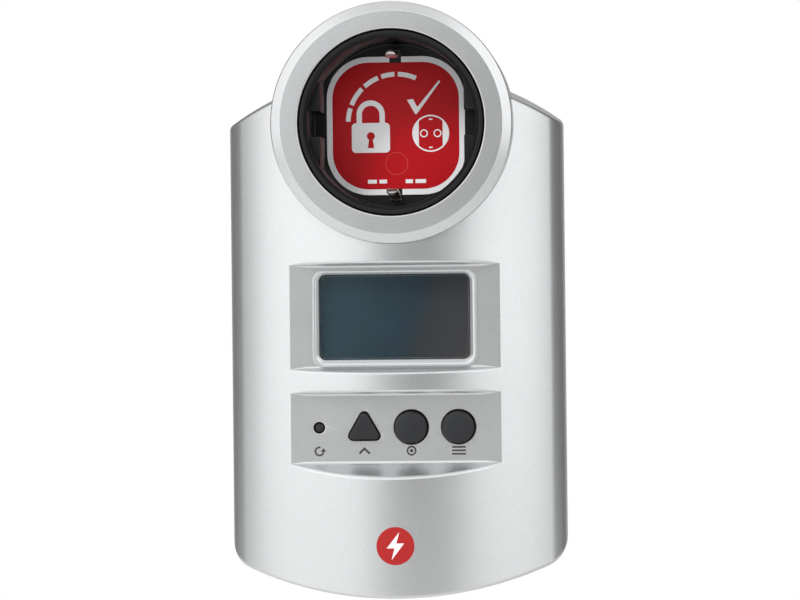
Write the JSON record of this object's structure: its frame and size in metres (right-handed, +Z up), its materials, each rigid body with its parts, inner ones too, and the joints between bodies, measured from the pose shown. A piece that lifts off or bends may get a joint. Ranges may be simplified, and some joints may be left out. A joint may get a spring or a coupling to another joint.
{
  "type": "outlet tester plug",
  "caption": "Plug-in energy meter: a rounded silver housing with an earthed round socket above an LCD window and a row of keys, and a matching two-pin earthed plug on its back.",
  "frame": {"origin": "centre of the rear plug's end face, midway between its two pins", "axes": "+Y out of the plug into the wall, so the front faces -Y; +Z up, from the keys towards the socket; +X to the right as seen from the front"},
  "size_m": [0.0786, 0.0796, 0.138],
  "materials": {
    "silver_paint": "satin metallic paint on plastic",
    "grey_plastic": "fine matt texture",
    "black_plastic": "semi-gloss",
    "key_rubber": "matt",
    "nickel": "nickel plate",
    "brass": "rolled",
    "steel": "zinc plate",
    "label_paper": "printed, semi-gloss",
    "rating_paper": "printed film",
    "window_clear": "polished",
    "lcd_glass": "gloss",
    "circuit_board": "solder mask",
    "elastomer": "matt",
    "white_plastic": "matt",
    "component_case": "gloss",
    "black_epoxy": "matt",
    "fuse_glass": "polished",
    "wire_brown": "smooth",
    "wire_blue": "smooth"
  },
  "bodies": {
    "housing": {"front_shell": "silver_paint", "rear_shell": "grey_plastic", "socket_collar": "silver_paint", "socket_insert": "black_plastic", "rating_label": "rating_paper", "contact_block": "white_plastic", "shutter_spring": "steel", "neutral_contact": "brass", "line_contact": "brass", "neutral_pin": "nickel", "line_pin": "nickel", "earth_strip_top": "nickel", "earth_strip_bottom": "nickel", "earth_bridge": "nickel", "plug_body": "black_plastic", "window_lens": "window_clear", "lcd_glass": "lcd_glass", "lcd_frame": "white_plastic", "zebra_strip_top": "elastomer", "zebra_strip_bottom": "elastomer", "display_board": "circuit_board", "main_board": "circuit_board", "reset_switch": "black_epoxy", "up_switch": "black_epoxy", "set_switch": "black_epoxy", "func_switch": "black_epoxy", "film_capacitor": "component_case", "smoothing_capacitor": "component_case", "surge_varistor": "component_case", "backup_battery": "component_case", "input_fuse": "fuse_glass", "current_shunt": "nickel", "meter_chip": "black_epoxy", "quartz_crystal": "steel", "ribbon_cable": "grey_plastic", "line_in_wire": "wire_brown", "line_out_wire": "wire_brown", "neutral_wire": "wire_blue", "housing_screw_1": "steel", "housing_screw_2": "steel", "housing_screw_3": "steel", "housing_screw_4": "steel", "display_screw_1": "steel", "display_screw_2": "steel", "display_screw_3": "steel", "display_screw_4": "steel", "main_screw_1": "steel", "main_screw_2": "steel"},
    "reset_button": {"reset_key": "key_rubber", "reset_plunger": "white_plastic"},
    "up_button": {"up_key": "key_rubber", "up_plunger": "white_plastic"},
    "set_button": {"set_key": "key_rubber", "set_plunger": "white_plastic"},
    "func_button": {"func_key": "key_rubber", "func_plunger": "white_plastic"},
    "shutter": {"shutter": "white_plastic"},
    "label": {"socket_label": "label_paper"}
  },
  "joints": [
    {"name": "reset_press", "type": "slide", "parent": "housing", "child": "reset_button", "axis": [0, 1, 0], "range_m": [0, 0.0005], "stiffness_N_per_m": 1200},
    {"name": "up_press", "type": "slide", "parent": "housing", "child": "up_button", "axis": [0, 1, 0], "range_m": [0, 0.0005], "stiffness_N_per_m": 1200},
    {"name": "set_press", "type": "slide", "parent": "housing", "child": "set_button", "axis": [0, 1, 0], "range_m": [0, 0.0005], "stiffness_N_per_m": 1200},
    {"name": "func_press", "type": "slide", "parent": "housing", "child": "func_button", "axis": [0, 1, 0], "range_m": [0, 0.0005], "stiffness_N_per_m": 1200},
    {"name": "shutter_slide", "type": "slide", "parent": "housing", "child": "shutter", "axis": [0, 0, 1], "range_m": [0, 0.007], "stiffness_N_per_m": 60, "springref_m": -0.004, "deforming": ["shutter_spring"]},
    {"name": "label_peel", "type": "slide", "parent": "housing", "child": "label", "axis": [0, -1, 0], "range_m": [0, 0.05]}
  ]
}
